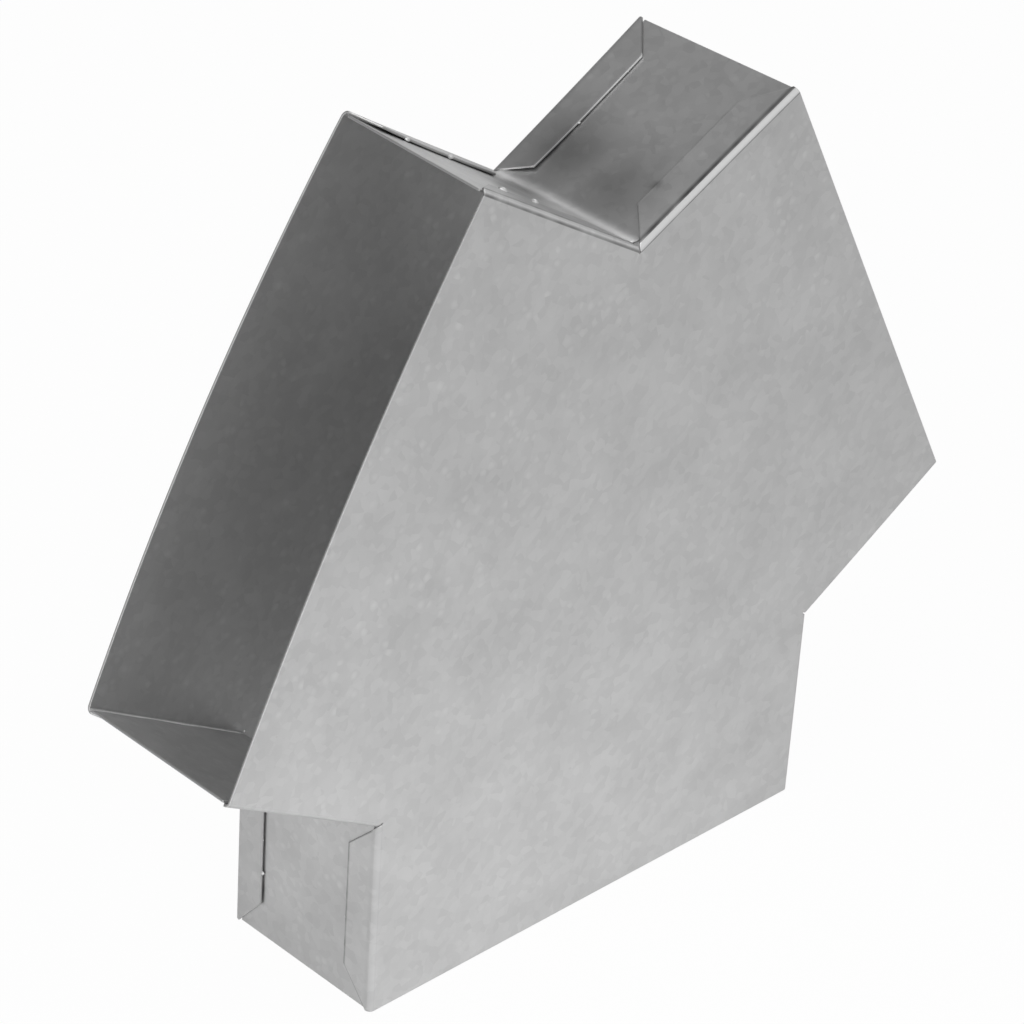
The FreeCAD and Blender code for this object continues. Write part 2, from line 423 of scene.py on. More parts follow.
class NodeDesk:
    """Lays nodes in one tree, in rows, and joins them."""

    ROW_LENGTH = 9
    COLUMN_WIDTH = 220.0
    ROW_HEIGHT = 260.0

    def __init__(self, tree: Tree) -> None:
        """Clears the tree and takes it over."""
        self.tree = tree
        tree.nodes.clear()

    def add(self, kind: str, **settings: object) -> Node:
        """Adds a node.

        Args:
            kind: Blender's name of the node type.
            settings: Properties of the node to set.

        Returns:
            The new node.
        """
        node = self.tree.nodes.new(kind)
        row, column = divmod(len(self.tree.nodes), self.ROW_LENGTH)
        node.location = (self.COLUMN_WIDTH * column, -self.ROW_HEIGHT * row)
        for key, value in settings.items():
            setattr(node, key, value)
        return node

    def join(self, source: Socket, target: Socket) -> None:
        """Joins an output to an input."""
        self.tree.links.new(source, target)

    def feed(self, target: Socket, value: object) -> None:
        """Joins an output to an input, or sets the input to a plain value.

        Args:
            target: The input.
            value: The output or the plain value.
        """
        if isinstance(value, Socket):
            self.join(value, target)
        else:
            target.default_value = value

    def math(self, operation: str, first: object, second: object = 0.0) -> Socket:
        """Works out one value from two.

        Args:
            operation: Blender's name of the operation.
            first: The first value.
            second: The second value.

        Returns:
            The result.
        """
        node = self.add("ShaderNodeMath", operation=operation)
        self.feed(node.inputs[0], first)
        self.feed(node.inputs[1], second)
        return node.outputs[0]

    def span(self, value: object, low: float, high: float, to_low: float = 0.0,
             to_high: float = 1.0) -> Socket:
        """Value moved smoothly from one span to another and held at its ends.

        Args:
            value: The value to move.
            low: Start of its span.
            high: End of its span.
            to_low: Result at the start.
            to_high: Result at the end.

        Returns:
            The moved value.
        """
        node = self.add("ShaderNodeMapRange", interpolation_type="SMOOTHSTEP")
        for socket, item in zip(node.inputs, (value, low, high, to_low, to_high)):
            self.feed(socket, item)
        return node.outputs[0]

    def blend(self, share: object, first: object, second: object) -> Socket:
        """Mixes two colours.

        Args:
            share: How much of the second colour shows.
            first: The colour below.
            second: The colour on top.

        Returns:
            The mixed colour.
        """
        node = self.add("ShaderNodeMix", data_type="RGBA")
        # A mix node has its colours at these sockets
        self.feed(node.inputs[0], share)
        self.feed(node.inputs[6], first)
        self.feed(node.inputs[7], second)
        return node.outputs[2]

    def noise_texture(self, place: Socket, scale: object, detail: float) -> Node:
        """Adds a noise texture.

        Args:
            place: Where on the piece the noise is read.
            scale: Its bumps to the metre.
            detail: How many finer layers it has.

        Returns:
            The new node.
        """
        node = self.add("ShaderNodeTexNoise")
        self.join(place, node.inputs["Vector"])
        self.feed(node.inputs["Scale"], scale)
        self.feed(node.inputs["Detail"], detail)
        return node

    def mix_shaders(self, share: Socket, below: Socket, above: Socket) -> Socket:
        """Mixes two shaders.

        Args:
            share: How much of the upper shader shows.
            below: The lower shader.
            above: The upper shader.

        Returns:
            The mixed shader.
        """
        node = self.add("ShaderNodeMixShader")
        for socket, item in zip(node.inputs, (share, below, above)):
            self.join(item, socket)
        return node.outputs[0]

    def group(self, tree: Tree, **values: object) -> Node:
        """Places a node group.

        Args:
            tree: The group.
            values: What its inputs get, by name.

        Returns:
            The new node.
        """
        node = self.add("ShaderNodeGroup", node_tree=tree)
        for key, value in values.items():
            self.feed(node.inputs[key], value)
        return node


def new_group(name: str, inputs: Sequence[Tuple[str, str]],
              outputs: Sequence[str]) -> Tuple[NodeDesk, Node, Node]:
    """Starts a shader node group.

    Args:
        name: Name of the group.
        inputs: Name and socket type of each input.
        outputs: Name of each output, all of them values.

    Returns:
        The desk of the group's tree, its input node and its output node.
    """
    tree = bpy.data.node_groups.new(name, "ShaderNodeTree")
    for label, kind in inputs:
        tree.interface.new_socket(label, in_out="INPUT", socket_type=kind)
    for label in outputs:
        tree.interface.new_socket(label, in_out="OUTPUT", socket_type="NodeSocketFloat")
    desk = NodeDesk(tree)
    return desk, desk.add("NodeGroupInput"), desk.add("NodeGroupOutput")


@dataclass(frozen=True)
class ZincSpangle:
    """Soft zinc crystals, bright flecks and their relief. Each scale is times the crystals to the metre."""

    wander_scale: float = 0.8
    wander_detail: float = 2.0
    wander_push: float = 0.0012
    fleck_radius: Tuple[float, float] = (0.1, 0.6)
    fleck_choice: Tuple[float, float] = (0.72, 1.0)
    cloud_scale: float = 0.12
    cloud_detail: float = 3.0
    grain_scale: float = 3.0
    grain_detail: float = 2.0
    grain_height: float = 0.4

    def group(self) -> Tree:
        """Builds the effect once for all materials.

        Returns:
            The node group, with its size in crystals to the metre.
        """
        desk, into, out = new_group(
            "zinc_spangle",
            [("Place", "NodeSocketVector"), ("Crystals", "NodeSocketFloat")],
            ["Crystal", "Fleck", "Cloud", "Relief"])
        place, crystals = into.outputs["Place"], into.outputs["Crystals"]
        wander_scale = desk.math("MULTIPLY", crystals, self.wander_scale)
        wander = desk.noise_texture(place, wander_scale, self.wander_detail)
        push = desk.add("ShaderNodeVectorMath", operation="MULTIPLY_ADD")
        desk.join(wander.outputs["Color"], push.inputs[0])
        push.inputs[1].default_value = (self.wander_push, self.wander_push, self.wander_push)
        desk.join(place, push.inputs[2])
        cells = desk.add("ShaderNodeTexVoronoi", feature="F1")
        desk.join(push.outputs[0], cells.inputs["Vector"])
        desk.join(crystals, cells.inputs["Scale"])
        tone = desk.add("ShaderNodeSeparateColor")
        desk.join(cells.outputs["Color"], tone.inputs[0])
        desk.join(tone.outputs[0], out.inputs["Crystal"])
        middle = desk.span(cells.outputs["Distance"], *self.fleck_radius, 1.0, 0.0)
        chosen = desk.span(tone.outputs[1], *self.fleck_choice)
        desk.join(desk.math("MULTIPLY", middle, chosen), out.inputs["Fleck"])
        cloud_scale = desk.math("MULTIPLY", crystals, self.cloud_scale)
        cloud = desk.noise_texture(place, cloud_scale, self.cloud_detail)
        desk.join(cloud.outputs["Fac"], out.inputs["Cloud"])
        grain_scale = desk.math("MULTIPLY", crystals, self.grain_scale)
        grain = desk.noise_texture(place, grain_scale, self.grain_detail)
        fine = desk.math("MULTIPLY", grain.outputs["Fac"], self.grain_height)
        desk.join(desk.math("ADD", tone.outputs[2], fine), out.inputs["Relief"])
        return desk.tree


@dataclass(frozen=True)
class HandlingMarks:
    """Marks of the shop: wiped smudges and fine rubbed lines."""

    smudge_detail: float = 4.0
    smudge_swirl: float = 0.8
    smudge_span: Tuple[float, float] = (0.5, 0.75)
    rub_stretch: float = 14.0
    rub_scale: float = 4.0
    rub_detail: float = 3.0
    rub_span: Tuple[float, float] = (0.55, 0.8)

    def group(self) -> Tree:
        """Builds the effect once for all materials.

        Returns:
            The node group, with its size in smudges to the metre.
        """
        desk, into, out = new_group(
            "handling_marks",
            [("Place", "NodeSocketVector"), ("Smudges", "NodeSocketFloat")],
            ["Smudge", "Rub"])
        place, smudges = into.outputs["Place"], into.outputs["Smudges"]
        wipe = desk.noise_texture(place, smudges, self.smudge_detail)
        desk.feed(wipe.inputs["Distortion"], self.smudge_swirl)
        desk.join(desk.span(wipe.outputs["Fac"], *self.smudge_span), out.inputs["Smudge"])
        stretch = desk.add("ShaderNodeMapping")
        desk.join(place, stretch.inputs["Vector"])
        stretch.inputs["Scale"].default_value = (1.0, 1.0, self.rub_stretch)
        line_scale = desk.math("MULTIPLY", smudges, self.rub_scale)
        lines = desk.noise_texture(stretch.outputs[0], line_scale, self.rub_detail)
        desk.join(desk.span(lines.outputs["Fac"], *self.rub_span), out.inputs["Rub"])
        return desk.tree


Grey = Tuple[float, float, float, float]


def grey(level: float) -> Grey:
    """A neutral colour."""
    return (level, level, level, 1.0)


@dataclass(frozen=True)
class MetalFinish(ABC):
    """What all finishes share: a metal surface with spangle, handling marks and a fine relief."""

    name: str
    metal_share: float
    roughness: float
    roughness_swing: float
    crystals: float
    smudges: float
    relief: float
    relief_height: float = 0.2

    @abstractmethod
    def colour(self, desk: NodeDesk, crystal: Node, marks: Node) -> Socket:
        """Lays the nodes that give the finish its colour."""

    @abstractmethod
    def rough(self, desk: NodeDesk, crystal: Node, marks: Node) -> Socket:
        """Lays the nodes that give the finish its roughness."""

    def rough_span(self, desk: NodeDesk, value: Socket, low: float, high: float) -> Socket:
        """Roughness that swings with a value between a low and a high one."""
        return desk.span(value, low, high, self.roughness - self.roughness_swing,
                         self.roughness + self.roughness_swing)

    def material(self, spangle: Tree, handling: Tree) -> bpy.types.Material:
        """Builds the material.

        Args:
            spangle: The zinc spangle group.
            handling: The handling marks group.

        Returns:
            The finished material.
        """
        material = bpy.data.materials.new(self.name)
        material.use_nodes = True
        desk = NodeDesk(material.node_tree)
        shader = desk.add("ShaderNodeBsdfPrincipled")
        desk.join(shader.outputs[0], desk.add("ShaderNodeOutputMaterial").inputs["Surface"])
        shader.inputs["Metallic"].default_value = self.metal_share
        place = desk.add("ShaderNodeTexCoord").outputs["Object"]
        crystal = desk.group(spangle, Place=place, Crystals=self.crystals)
        marks = desk.group(handling, Place=place, Smudges=self.smudges)
        desk.join(self.colour(desk, crystal, marks), shader.inputs["Base Color"])
        desk.join(self.rough(desk, crystal, marks), shader.inputs["Roughness"])
        bump = desk.add("ShaderNodeBump")
        bump.inputs["Strength"].default_value = self.relief
        bump.inputs["Distance"].default_value = self.relief_height * MM
        desk.join(crystal.outputs["Relief"], bump.inputs["Height"])
        desk.join(bump.outputs[0], shader.inputs["Normal"])
        return material


@dataclass(frozen=True)
class GalvanisedFinish(MetalFinish):
    """Dull zinc coating with a soft fine spangle, bare at the cut edges."""

    name: str = "galvanised_sheet"
    metal_share: float = 0.82
    roughness: float = 0.34
    roughness_swing: float = 0.012
    crystals: float = 420.0
    smudges: float = 28.0
    relief: float = 0.01
    zinc: float = 0.75
    crystal_swing: float = 0.03
    fleck_lift: float = 0.075
    cloud_swing: float = 0.03
    bare_edge: float = 0.6
    # Grey of the painted highlight
    highlight_grey: float = 0.86
    # Grey of the painted shade and the seam grime
    shade_and_dirt_grey: float = 0.12
    # Grey of the burns round the beads and of the painted crotch shade
    burnt_and_shaded: float = 0.12
    smudge_dim: float = 0.03

    def colour(self, desk: NodeDesk, crystal: Node, marks: Node) -> Socket:
        """Zinc grey with its spangle, bare at the cut edges, and with painted highlight, painted shade, seam
        grime, bead burns and painted crotch shade where the sheet's points say so.

        Args:
            desk: The material's desk.
            crystal: The spangle's node.
            marks: The handling marks' node.

        Returns:
            The colour.
        """
        level = desk.span(crystal.outputs["Cloud"], *NOISE_SPAN, self.zinc - self.cloud_swing,
                          self.zinc + self.cloud_swing)
        swing = desk.math("MULTIPLY", desk.math("SUBTRACT", crystal.outputs["Crystal"], 0.5),
                          2.0 * self.crystal_swing)
        level = desk.math("ADD", level, swing)
        level = desk.math("ADD", level, desk.math("MULTIPLY", crystal.outputs["Fleck"], self.fleck_lift))
        level = desk.math("SUBTRACT", level, desk.math("MULTIPLY", marks.outputs["Smudge"], self.smudge_dim))
        coat = desk.add("ShaderNodeCombineColor")
        for socket in coat.inputs:
            desk.join(level, socket)
        cut = desk.add("ShaderNodeAttribute", attribute_name=CUT_EDGE).outputs["Fac"]
        burn_and_shade = desk.add("ShaderNodeAttribute", attribute_name=BURN_AND_SHADE).outputs["Fac"]
        tone = desk.add("ShaderNodeAttribute", attribute_name=TONE).outputs["Fac"]
        # Above zero the tone paints a highlight; below zero it paints shade, with some grime along the seams
        painted_highlight = desk.math("MAXIMUM", tone, 0.0)
        shade_and_dirt = desk.math("MAXIMUM", desk.math("MULTIPLY", tone, -1.0), 0.0)
        colour = desk.blend(cut, coat.outputs[0], grey(self.bare_edge))
        colour = desk.blend(painted_highlight, colour, grey(self.highlight_grey))
        colour = desk.blend(shade_and_dirt, colour, grey(self.shade_and_dirt_grey))
        # Darkens the burns round the beads and paints shade on the crotch legs
        return desk.blend(burn_and_shade, colour, grey(self.burnt_and_shaded))

    def rough(self, desk: NodeDesk, crystal: Node, marks: Node) -> Socket:
        """Roughness of the zinc, a little lower along the rubbed lines."""
        rub = desk.math("MULTIPLY", marks.outputs["Rub"], self.roughness_swing)
        return desk.math("SUBTRACT", self.rough_span(desk, crystal.outputs["Crystal"], 0.0, 1.0), rub)


@dataclass(frozen=True)
class BeadFinish(MetalFinish):
    """Bare bright weld metal with a little soot."""

    name: str = "weld_bead"
    metal_share: float = 0.55
    roughness: float = 0.38
    roughness_swing: float = 0.12
    crystals: float = 1500.0
    smudges: float = 600.0
    relief: float = 0.15
    metal: float = 0.8
    soot: float = 0.5

    def colour(self, desk: NodeDesk, crystal: Node, marks: Node) -> Socket:
        """Bright metal, with soot where it is smudged."""
        return desk.blend(marks.outputs["Smudge"], grey(self.metal), grey(self.soot))

    def rough(self, desk: NodeDesk, crystal: Node, marks: Node) -> Socket:
        """Roughness of the bead, in soft clouds."""
        return self.rough_span(desk, crystal.outputs["Cloud"], *NOISE_SPAN)


def hand_over(piece: Piece, material: bpy.types.Material, node: str) -> None:
    """Dresses a piece and lets it stand for its CAD node.

    Args:
        piece: The finished piece.
        material: Finish of the piece.
        node: CAD node that the piece replaces.
    """
    piece.data.materials.append(material)
    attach(piece, BODY)
    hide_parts(node)
    log.info("%s stands for %s with %d faces", piece.name, node, len(piece.data.polygons))


# Turn of a fold at each row of points, in degrees, and the light painted on it there: above zero a painted
# highlight, below zero painted crease shade
FOLD_TURNS = (0.0, 5.0, 10.0, 17.0, 28.0, 40.0, 52.0, 60.0, 66.0, 72.0, 82.0, 90.0)
FOLD_HIGHLIGHT_AND_SHADE = (-0.3, -0.8, -0.6, 1.0, 1.0, 1.0, 1.0, 1.0, 0.6, -1.0, -1.0, -1.0)
FOLD_SHADE_AND_FAINT_HIGHLIGHT = (-0.3, -0.9, -1.0, -1.0, -0.5, 0.1, 0.3, 0.3, 0.0, -0.6, -1.0, -1.0)


@dataclass(frozen=True)
class Unevenness:
    """Slow change along a seam or an edge: its middle, its swing and its bumps to the millimetre."""

    middle: float
    swing: float
    bumps: float

    def along(self, line: np.ndarray) -> np.ndarray:
        """Uneven values at points along a line, in millimetres."""
        bumps = np.array([noise.noise(Vector(point) * self.bumps) for point in line])
        return self.middle + self.swing * bumps


@dataclass(frozen=True)
class FlangeLay:
    """How one flange lies on its wall, in millimetres, and the painted highlight and painted shade on its
    fold, its mitred ends and its free edge, with the painted shadow and grime beside that edge.
    """

    corner_over: float = 0.0
    mouth_over: float = 0.0
    corner_lift: float = 0.05
    mouth_lift: float = 0.05
    edge_lift: float = 0.08
    # The fold's row profile and its strength paint a highlight and crease shade on the fold
    fold_tones: Tuple[float, ...] = FOLD_HIGHLIGHT_AND_SHADE
    fold_painted_light: float = 0.08
    # Painted shadow beside the free edge on the wall, with some grime
    seam_shadow_and_dirt: float = 0.25
    flat_tone: float = 0.0
    # Tones of the free edge and the two mitred ends: above zero a painted highlight, below zero a painted
    # shade line
    edge_tone: float = -0.2
    corner_tone: float = -0.2
    mouth_tone: float = -0.2


@dataclass
class YPlate:
    """Y shaped plate with a mitred flange folded along both sides of each arm."""

    name: str
    node: str
    face: Face
    sizes: SheetSizes
    lays: Dict[FlangeKey, FlangeLay]
    width_steps: int = 48
    length_steps: int = 48
    flange_steps: int = 8
    edge_strip: float = 0.8
    lift_reach: float = 26.0
    # Patchiness of the painted crease shade on the fold and of the painted tone at the free edge
    shade_patchiness: Unevenness = Unevenness(middle=0.85, swing=0.4, bumps=0.3)

    def shares(self) -> np.ndarray:
        """Spaces out a flange's points, with a narrow strip at both ends.

        Returns:
            Shares of the flange's length.
        """
        even = np.linspace(0.0, 1.0, self.length_steps + 1)
        strip = self.edge_strip / (self.sizes.mouth_reach - self.sizes.flange_start)
        return np.concatenate([[0.0, strip], even[1:-1], [1.0 - strip, 1.0]])

    def stations(self) -> np.ndarray:
        """Spaces out the points of an arm and its flanges.

        Returns:
            Distances along the arm.
        """
        sizes = self.sizes
        flanged = sizes.flange_start + (sizes.mouth_reach - sizes.flange_start) * self.shares()
        return np.concatenate([[sizes.plate_corner], flanged])

    def lay(self, arm: Arm, hand: Hand) -> FlangeLay:
        """How the flange on one side of an arm lies."""
        return self.lays.get((self.face, arm, hand), FlangeLay())

    def add_middle(self, skin: SheetSkin) -> None:
        """Adds the flat triangle between the three arms.

        Args:
            skin: The plate's skin.
        """
        sizes = self.sizes
        reach = 2.0 * sizes.plate_corner
        middle = sizes.junction + self.face.outwards * sizes.plate_face
        notches = [arm.value + HALF_NOTCH for arm in (Arm.RIGHT, Arm.LEFT, Arm.TRUNK)]
        first, second, third = [middle + reach * turned(notch) for notch in notches]
        steps = self.width_steps
        numbers = {}
        for i in range(steps + 1):
            for j in range(steps + 1 - i):
                place = first + (second - first) * i / steps + (third - first) * j / steps
                numbers[i, j] = skin.point(place, self.face.outwards)
        for i, j in numbers:
            if i + j < steps:
                skin.face((numbers[i, j], numbers[i + 1, j], numbers[i, j + 1]))
            if i + j < steps - 1:
                skin.face((numbers[i + 1, j], numbers[i + 1, j + 1], numbers[i, j + 1]))

    def add_arm(self, skin: SheetSkin, arm: Arm) -> None:
        """Adds the flat of one arm.

        Args:
            skin: The plate's skin.
            arm: The arm.
        """
        across = np.linspace(-self.sizes.fold_line, self.sizes.fold_line, self.width_steps + 1)
        level = self.face.value * self.sizes.plate_face
        places = self.sizes.at(arm, self.stations()[:, None], across[None, :], np.array(level))
        skin.patch(places, np.broadcast_to(self.face.outwards, places.shape), np.zeros(places.shape[:2]))

    def add_flange(self, skin: SheetSkin, arm: Arm, hand: Hand) -> None:
        """Adds one fold and its flange, with mitred ends that may stand off the wall, and painted highlight
        and shade on the fold, the ends and the free edge.

        Args:
            skin: The plate's skin.
            arm: The arm that the flange runs along.
            hand: The side of the arm.
        """
        sizes = self.sizes
        lay = self.lay(arm, hand)
        fold_tones = np.array(lay.fold_tones)[:, None]
        turns = np.radians(FOLD_TURNS)
        strip_start = sizes.flange_width - self.edge_strip
        down = np.linspace(sizes.fold_radius, strip_start, self.flange_steps + 1)[1:]
        down = np.append(down, sizes.flange_width)
        drops = np.concatenate([sizes.fold_radius * (1.0 - np.cos(turns)), down])
        turns = np.concatenate([turns, np.full(len(down), math.pi / 2)])
        reach = sizes.fold_line + sizes.fold_radius * np.sin(turns)
        share = self.shares()
        starts = sizes.flange_start + drops * (1.0 - lay.corner_over / sizes.flange_width)
        past_fold = np.clip(drops - sizes.fold_radius, 0.0, None) / (sizes.flange_width - sizes.fold_radius)
        ends = sizes.mouth_reach - (sizes.flange_width - lay.mouth_over) * past_fold
        along = starts[:, None] + (ends - starts)[:, None] * share[None, :]
        from_corner = np.clip(1.0 - (along - sizes.flange_start) / self.lift_reach, 0.0, 1.0)
        from_mouth = np.clip(1.0 - (sizes.mouth_reach - along) / self.lift_reach, 0.0, 1.0)
        lift = lay.edge_lift + lay.corner_lift * from_corner ** 2 + lay.mouth_lift * from_mouth ** 2
        lift = lift * (drops / sizes.flange_width)[:, None]
        level = self.face.value * (sizes.plate_face - drops)
        places = sizes.at(arm, along, hand.value * (reach[:, None] + lift), level[:, None])
        side = hand.value * arm.across
        normals = np.sin(turns)[:, None] * side + np.cos(turns)[:, None] * self.face.outwards
        patchy = self.shade_patchiness.along(places[0])
        # Painted light on the flange: highlight and crease shade on the fold, highlight lines above zero and
        # shade lines below zero on the mitred ends and the free edge, and a darker flat where the lay
        # darkens it
        tones = np.full(places.shape[:2], lay.flat_tone)
        tones[:len(fold_tones)] = lay.fold_painted_light * np.where(fold_tones < 0.0, fold_tones * patchy, fold_tones)
        tones[len(fold_tones):, 0] = lay.corner_tone
        tones[len(fold_tones):, -1] = lay.mouth_tone
        tones[-1] = lay.edge_tone * patchy
        skin.patch(places, np.broadcast_to(normals[:, None, :], places.shape), tones)

    def build(self, spring: SheetSpring, spots: Sequence[BurnAndShadeSpot]) -> Piece:
        """Builds the plate as one bowed solid sheet.

        Args:
            spring: The bowing of the sheets.
            spots: Burns round the beads and painted shade spots of all sheets.

        Returns:
            The piece.
        """
        skin = SheetSkin(self.sizes.gauge)
        self.add_middle(skin)
        for arm in Arm:
            self.add_arm(skin, arm)
            for hand in Hand:
                self.add_flange(skin, arm, hand)
        piece = skin.solid(self.name, spring, spots)
        EdgeBreak().apply(piece)
        return piece


@dataclass
class WallStrip:
    """Wall strip bent to a V in the notch between two arms."""

    name: str
    node: str
    first_arm: Arm
    second_arm: Arm
    sizes: SheetSizes
    lays: Dict[FlangeKey, FlangeLay]
    belly: float = 0.25
    bend_ease: float = 0.0
    edge_wander: float = 0.9
    # The higher this odd power, the nearer to its edges the strip wanders
    wander_power: int = 9
    wander: Unevenness = Unevenness(middle=0.5, swing=0.5, bumps=0.12)
    leg_steps: int = 44
    bend_steps: int = 16
    depth_steps: int = 40
    # Rows of points beside a flange's free edge, where the painted shadow and grime run, from under the
    # flange outwards
    seam_rows: Tuple[float, ...] = (-0.4, 0.1, 0.35, 0.75)
    shadow_and_dirt_width: float = 0.5
    # How far the painted shadow and grime run past the end of a flange's free edge
    shadow_and_dirt_past_end: float = 0.5
    shade_and_dirt: Unevenness = Unevenness(middle=0.7, swing=0.5, bumps=0.25)

    def path(self) -> Tuple[np.ndarray, np.ndarray]:
        """Outer line of the strip.

        Returns:
            Points along the strip from the first arm's mouth to the second's, and outward directions.
        """
        sizes = self.sizes
        radius = sizes.wall_bend + self.bend_ease
        notch = self.first_arm.value + HALF_NOTCH
        half_bend = 90.0 - HALF_NOTCH
        to_centre = (sizes.wall_face + radius) / math.sin(math.radians(HALF_NOTCH))
        bend_centre = sizes.junction + to_centre * turned(notch)
        headings = np.linspace(notch + half_bend, notch - half_bend, self.bend_steps + 1)
        bend_normals = np.array([turned(heading) for heading in headings])
        bend = bend_centre - radius * bend_normals
        tangent = (bend[0] - sizes.junction) @ self.first_arm.along
        along = np.linspace(sizes.mouth_reach, tangent, self.leg_steps + 1)
        first = sizes.at(self.first_arm, along, np.array(sizes.wall_face), np.array(0.0))
        second = sizes.at(self.second_arm, along[::-1], np.array(-sizes.wall_face), np.array(0.0))
        points = np.vstack([first[:-1], bend, second[1:]])
        first_normals = np.tile(self.first_arm.across, (self.leg_steps, 1))
        second_normals = np.tile(-self.second_arm.across, (self.leg_steps, 1))
        return points, np.vstack([first_normals, bend_normals, second_normals])

    def levels(self) -> np.ndarray:
        """Spaces out the strip's rows of points, closer beside the seams.

        Returns:
            Distances behind the middle plane.
        """
        even = np.linspace(-self.sizes.fold_level, self.sizes.fold_level, self.depth_steps + 1)
        seams = [face.value * (self.sizes.free_edge - row) for face in Face for row in self.seam_rows]
        return np.sort(np.concatenate([even, seams]))

    def seam_tones(self, line: np.ndarray, levels: np.ndarray) -> np.ndarray:
        """Painted shadow, with some grime, along the free edges of the flanges that lie on the strip.

        Args:
            line: Points along the strip.
            levels: Distances of the rows behind the middle plane.

        Returns:
            The tone of each point, below zero where shadow and grime are painted.
        """
        sizes = self.sizes
        tones = np.zeros((len(line), len(levels)))
        patchy = self.shade_and_dirt.along(line)
        for arm, hand in ((self.first_arm, Hand.LEFT), (self.second_arm, Hand.RIGHT)):
            along = (line - sizes.junction) @ arm.along
            to_ends = np.minimum(along - sizes.flange_start, sizes.mouth_reach - along)
            beside = np.clip(to_ends - sizes.flange_width + self.shadow_and_dirt_past_end, 0.0, 1.0) * patchy
            for face in Face:
                lay = self.lays.get((face, arm, hand), FlangeLay())
                clear = sizes.free_edge - face.value * levels
                # Painted shadow and grime, full within half the band's width of the free edge, and gone at
                # one and a half
                band = np.clip(1.5 - np.abs(clear) / self.shadow_and_dirt_width, 0.0, 1.0)
                tones -= lay.seam_shadow_and_dirt * beside[:, None] * band[None, :]
        return tones

    def build(self, spring: SheetSpring, spots: Sequence[BurnAndShadeSpot]) -> Piece:
        """Builds the strip as one bowed solid sheet.

        Args:
            spring: The bowing of the sheets.
            spots: Burns round the beads and painted shade spots of all sheets.

        Returns:
            The piece.
        """
        line, outwards = self.path()
        levels = self.levels()
        places = np.repeat(line[:, None, :], len(levels), axis=1)
        wander = self.edge_wander * self.wander.along(line)
        near_edge = (levels / self.sizes.fold_level) ** self.wander_power
        places[:, :, 1] += levels[None, :] - wander[:, None] * near_edge[None, :]
        normals = np.repeat(outwards[:, None, :], len(levels), axis=1)
        swell = np.cos(np.pi / 2 * levels / self.sizes.fold_level) ** 2
        run = np.linspace(0.0, 2.0 * math.pi, len(line))
        swell = self.belly * np.sin(run)[:, None] ** 2 * swell[None, :]
        skin = SheetSkin(self.sizes.gauge)
        skin.patch(places + normals * swell[..., None], normals, self.seam_tones(line, levels))
        piece = skin.solid(self.name, spring, spots)
        EdgeBreak().apply(piece)
        return piece


@dataclass
class TackBeads:
    """Small irregular weld beads where a flange's free edge meets its wall."""

    name: str
    node: str
    sizes: SheetSizes
    seed: int = 7
    detail: int = 3
    lumps: float = 0.22
    lump_pitch: float = 1.7
    lump_shift: float = 50.0
    rise: float = 0.5
    size_swing: float = 0.18
    # Shares of the radius along the seam, off the wall and across the seam
    shape: Tuple[float, float, float] = (1.15, 0.8, 1.0)
    # Place of each bead along its flange, in millimetres, and its share of the full size
    usual: Tuple[Tuple[float, float], ...] = ((84.5, 0.75), (70.5, 0.65))
    others: Dict[FlangeKey, Tuple[Tuple[float, float], ...]] = field(default_factory=lambda: {
        (Face.BACK, Arm.LEFT, Hand.RIGHT): ((87.0, 0.75), (71.0, 0.75)),
        (Face.FRONT, Arm.LEFT, Hand.RIGHT): ((84.8, 1.3), (73.2, 1.3)),
        (Face.BACK, Arm.TRUNK, Hand.RIGHT): ((80.6, 0.6), (70.5, 0.2)),
        (Face.FRONT, Arm.TRUNK, Hand.RIGHT): ((84.5, 0.3), (76.0, 0.5)),
        (Face.BACK, Arm.RIGHT, Hand.LEFT): ((84.5, 0.2), (66.0, 0.4)),
        (Face.FRONT, Arm.RIGHT, Hand.LEFT): ((84.5, 0.2), (70.5, 0.2)),
    })

    def places(self) -> List[Tuple[np.ndarray, float, FlangeKey]]:
        """Finds where the beads sit.

        Returns:
            Middle of each bead, its share of the full size and the flange that it holds.
        """
        sizes = self.sizes
        found = []
        for arm in Arm:
            for hand in Hand:
                for face in Face:
                    flange = (face, arm, hand)
                    across = np.array(hand.value * (sizes.wall_face + self.rise))
                    level = np.array(face.value * sizes.free_edge)
                    for along, size in self.others.get(flange, self.usual):
                        found.append((sizes.at(arm, np.array(along), across, level), size, flange))
        return found

    def build(self, spring: SheetSpring) -> Piece:
        """Builds all beads as one piece of closed lumps.

        Args:
            spring: The bowing of the sheets, which carries the beads along.

        Returns:
            The piece.
        """
        draw = np.random.default_rng(self.seed)
        soup = bmesh.new()
        for middle, size, (face, arm, hand) in self.places():
            seat = spring.sprung(middle[None, :])[0]
            swing = 1.0 + self.size_swing * draw.uniform(-1.0, 1.0, 3)
            stretch = size * self.sizes.tack_radius * swing * np.array(self.shape)
            away = hand.value * arm.across
            axes = np.stack([arm.along, away, face.outwards])
            shift = Vector(draw.uniform(-self.lump_shift, self.lump_shift, 3))
            ball = bmesh.ops.create_icosphere(soup, subdivisions=self.detail, radius=1.0)
            for vertex in ball["verts"]:
                lump = 1.0 + self.lumps * noise.noise(vertex.co * self.lump_pitch + shift)
                local = np.array(vertex.co) * stretch * lump
                vertex.co = Vector((seat + local @ axes) * MM)
        bmesh.ops.recalc_face_normals(soup, faces=soup.faces)
        mesh = bpy.data.meshes.new(self.name)
        soup.to_mesh(mesh)
        soup.free()
        mesh.polygons.foreach_set("use_smooth", [True] * len(mesh.polygons))
        piece = bpy.data.objects.new(self.name, mesh)
        bpy.context.scene.collection.objects.link(piece)
        return piece


